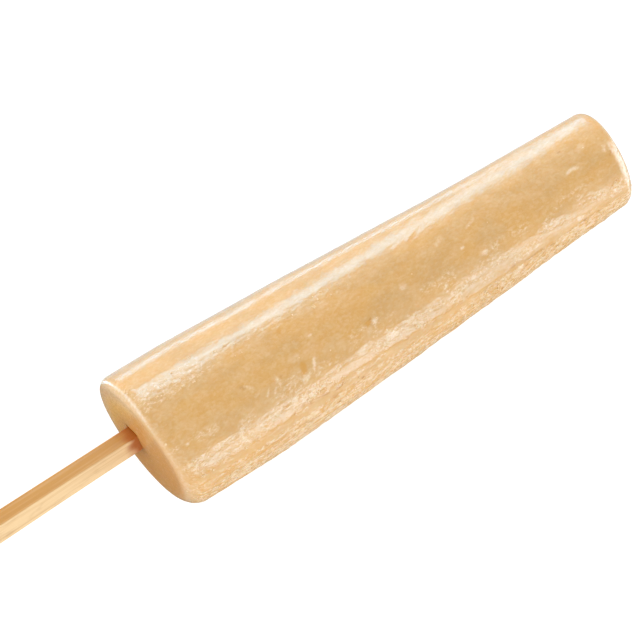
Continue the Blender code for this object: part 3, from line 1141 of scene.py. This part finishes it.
VIEW_DISTANCE = 1.0
VIEW_WIDTH = 0.13408  # what the picture spans at that distance
SENSOR = 36.0
CLIP_START = 0.05
CLIP_END = 20.0
VIEW_TILT = math.radians(13.59)  # the wide end is turned towards the camera by this much
VIEW_ROLL = math.radians(32.18)  # the bar's axis climbs to the right at this angle in the picture
AIM = Vector((0.04616, 0.003075, 0.0))
FLOOR_REACH = 4.0
SQUARE = ((-1, -1), (1, -1), (1, 1), (-1, 1))


def to_camera():
    """The direction to the camera, in the bar's frame."""
    return Vector((-math.sin(VIEW_TILT), 0.0, math.cos(VIEW_TILT)))


def make_camera(placed):
    """The camera: it looks down on the lying bar from slightly beyond its wide end."""
    along_view = Vector((math.cos(VIEW_TILT), 0.0, math.sin(VIEW_TILT)))
    across_view = Vector((0.0, 1.0, 0.0))
    right = along_view * math.cos(VIEW_ROLL) - across_view * math.sin(VIEW_ROLL)
    top = along_view * math.sin(VIEW_ROLL) + across_view * math.cos(VIEW_ROLL)
    turn = Matrix((right, top, to_camera())).transposed().to_4x4()
    data = bpy.data.cameras.new("camera")
    data.sensor_width = SENSOR
    data.lens = SENSOR * VIEW_DISTANCE / VIEW_WIDTH
    data.clip_start = CLIP_START
    data.clip_end = CLIP_END
    camera = add_object("camera", data)
    camera.matrix_world = placed @ Matrix.Translation(AIM + to_camera() * VIEW_DISTANCE) @ turn
    bpy.context.scene.camera = camera


def make_floor():
    """A plain pale floor.  It catches light, but neither shades the bar nor shows in it."""
    mesh = bpy.data.meshes.new("floor")
    corners = [(FLOOR_REACH * x, FLOOR_REACH * y, 0) for x, y in SQUARE]
    mesh.from_pydata(corners, [], [(0, 1, 2, 3)])
    mesh.materials.append(floor_material())
    floor = add_object("floor", mesh)
    floor.visible_diffuse = False
    floor.visible_glossy = False
    floor.visible_shadow = False


# the sky's brightness: even, and towards each side, as an axis, which way along it, and how bright
SKY_EVEN = 0.03
SKY_SIDES = (
    ("Y", 1.0, 1.93),
    ("Y", -1.0, 1.70),
    ("Z", 1.0, 0.70),
    ("Z", -1.0, 0.03),
    ("X", 1.0, 1.15),
    ("X", -1.0, 1.15),
)
SKY_SHARPNESS = 2.0


def make_world():
    """A soft sky all round, with its own brightness towards each side."""
    world = bpy.data.worlds.new("studio")
    bpy.context.scene.world = world
    graph = Graph(world)
    direction = graph.add("TexCoord")
    split = graph.add("SeparateXYZ")
    graph.join(direction.outputs["Generated"], split.inputs[0])
    total = SKY_EVEN
    for axis, sign, strength in SKY_SIDES:
        facing = graph.math("MAXIMUM", graph.math("MULTIPLY", split.outputs[axis], sign), 0.0)
        lobe = graph.math("MULTIPLY", graph.math("POWER", facing, SKY_SHARPNESS), strength)
        total = graph.math("ADD", lobe, total)
    back = graph.nodes["Background"]
    graph.join(total, back.inputs["Strength"])
    graph.join(WHITE, back.inputs["Color"])


# lights that only show as reflections; the ribbons are bent so that a reflection runs where it is wanted
LIGHT_DISTANCE = 0.30
STATIONS = 24  # steps along a ribbon
STREAK_TINT = (0.34, 0.72, 1.0)
SOFT_TINT = (0.60, 0.82, 1.0)
# where round the bar each streak runs, in degrees; the upper one's growth is reached at a place along it
MAIN_ANGLE = 35.5
MAIN_ANGLE_GROWTH = 18.5
MAIN_ANGLE_REACH = 0.106
EDGE_ANGLE = 63.3
LOW_ALONG = (0.012, 0.035, 0.055, 0.085, 0.106)
LOW_ANGLES_ALONG = (-35.6, -34.0, -31.8, -33.6, -41.0)
# from where to where the streaks run, along the bar, and round the rim in degrees
MAIN_RUN = (-0.02, 0.125)
EDGE_RUN = (-0.03, 0.14)
LOW_RUN = (-0.02, 0.13)
RIM_RUN = (18, 84)


def add_glow(name, corners, faces, tint, strengths):
    """A light of this shape, with its own strength at each corner, that only shows in reflections."""
    mesh = bpy.data.meshes.new(name)
    mesh.from_pydata([tuple(corner) for corner in corners], [], faces)
    add_attribute(mesh, "strength", strengths)
    graph = Graph(bpy.data.materials.new(name))
    graph.nodes.remove(graph.nodes["Principled BSDF"])
    glow = graph.add("Emission")
    graph.join(tint, glow.inputs["Color"])
    graph.join(graph.attribute("strength"), glow.inputs["Strength"])
    graph.join(glow.outputs[0], graph.nodes["Material Output"].inputs["Surface"])
    mesh.materials.append(graph.owner)
    light = add_object(name, mesh)
    light.visible_camera = False
    light.visible_diffuse = False
    light.visible_shadow = False


def steps(start, end):
    """Evenly spaced numbers from start to end, one for each station of a ribbon."""
    return [start + (end - start) * station / STATIONS for station in range(STATIONS + 1)]


def side_places(angle_at, start, end):
    """Points on the bar's side with their normals, at the angle angle_at(along)."""
    places = []
    for along in steps(start, end):
        angle = math.radians(angle_at(along))
        nearest = min(max(along, 0.0), LENGTH)
        radius = float(side_radius(nearest))
        slope = float(side_radius(nearest - MM) - side_radius(nearest + MM)) / (2 * MM)
        point = Vector((along, radius * math.sin(angle), radius * math.cos(angle)))
        places.append((point, Vector((slope, math.sin(angle), math.cos(angle))).normalized()))
    return places


def rim_places(turn_at, start, end):
    """Points on the wide rim with their normals, at the turn turn_at(angle), both in degrees."""
    places = []
    for degrees in steps(start, end):
        angle = math.radians(degrees)
        turn = math.radians(turn_at(degrees))
        rim = float(wide_rim(angle))
        radius = WIDE_RADIUS - rim * (1 - math.sin(turn))
        point = Vector((rim * (1 - math.cos(turn)), radius * math.sin(angle), radius * math.cos(angle)))
        across = math.sin(turn) * math.sin(angle) - math.tan(WIDE_SLANT) * math.cos(turn)
        normal = Vector((-math.cos(turn), across, math.sin(turn) * math.cos(angle)))
        places.append((point, normal.normalized()))
    return places


def make_ribbon(name, placed, places, tint, widths, strengths):
    """A ribbon of light that the camera sees reflected at each of these places.

    The widths are angles in degrees, as seen from the bar.  Widths and strengths are given at its two ends.
    """
    eye = AIM + to_camera() * VIEW_DISTANCE
    centres = []
    for point, normal in places:
        sight = (eye - point).normalized()
        centres.append(point + (normal * 2 * normal.dot(sight) - sight) * LIGHT_DISTANCE)
    corners = []
    for index, (centre, width) in enumerate(zip(centres, steps(*widths))):
        reach = LIGHT_DISTANCE * math.tan(math.radians(width) / 2)
        run = centres[min(index + 1, STATIONS)] - centres[max(index - 1, 0)]
        spread = run.cross(centre - places[index][0]).normalized() * reach
        corners += [placed @ (centre - spread), placed @ (centre + spread)]
    faces = [(i, i + 1, i + 3, i + 2) for i in range(0, 2 * STATIONS, 2)]
    add_glow(name, corners, faces, tint, np.repeat(steps(*strengths), 2))


def make_panel(name, placed, along, direction, width, strength):
    """A square softbox that faces a place along the bar's axis, from a direction in the bar's frame."""
    toward = Vector(direction).normalized()
    side = toward.cross(Vector((0.0, 1.0, 0.0))).normalized()
    rise = toward.cross(side)
    centre = Vector((along, 0.0, 0.0)) + toward * LIGHT_DISTANCE
    reach = LIGHT_DISTANCE * math.tan(math.radians(width) / 2)
    corners = [placed @ (centre + reach * (side * x + rise * y)) for x, y in SQUARE]
    add_glow(name, corners, [(0, 1, 2, 3)], SOFT_TINT, [strength] * len(corners))


def main_angle(along):
    """Where round the bar the upper streak runs, in degrees."""
    return MAIN_ANGLE + MAIN_ANGLE_GROWTH * (max(along, 0) / MAIN_ANGLE_REACH) ** 2


def edge_angle(along):
    """Where round the bar the streak near its upper outline runs, in degrees: the same all along."""
    return EDGE_ANGLE + 0 * along


def low_angle(along):
    """Where round the bar the lower streak runs, in degrees."""
    return float(np.interp(along, LOW_ALONG, LOW_ANGLES_ALONG))


def make_lights(placed):
    """Streaks along the bar and its wide rim, and glow on its tip and its far side."""
    # each ribbon's name, places, tint, widths and strengths; then each panel's name, place along,
    # direction, width and strength
    ribbons = (
        ("main_streak", side_places(main_angle, *MAIN_RUN), STREAK_TINT, (18.0, 6.0), (15.0, 6.5)),
        ("edge_streak", side_places(edge_angle, *EDGE_RUN), STREAK_TINT, (6.0, 6.0), (9.0, 7.5)),
        ("low_streak", side_places(low_angle, *LOW_RUN), SOFT_TINT, (14.5, 8.0), (12.0, 5.0)),
        ("rim_streak", rim_places(crest_turn, *RIM_RUN), STREAK_TINT, (10.0, 8.0), (6.0, 5.0)),
    )
    panels = (
        ("tip_panel", LENGTH, (0.85, -0.4, 0.2), 56.0, 6.5),
        ("under_panel", LENGTH / 2, (0.24, 0.55, -0.80), 50.0, 1.0),
    )
    for name, places, tint, widths, strengths in ribbons:
        make_ribbon(name, placed, places, tint, widths, strengths)
    for name, along, direction, width, strength in panels:
        make_panel(name, placed, along, direction, width, strength)


bar, placed, crumbs = make_bar()
make_crumbs(bar, placed, crumbs)
make_stick(placed)
make_camera(placed)
make_floor()
make_world()
make_lights(placed)
bpy.context.scene.view_settings.view_transform = "Standard"
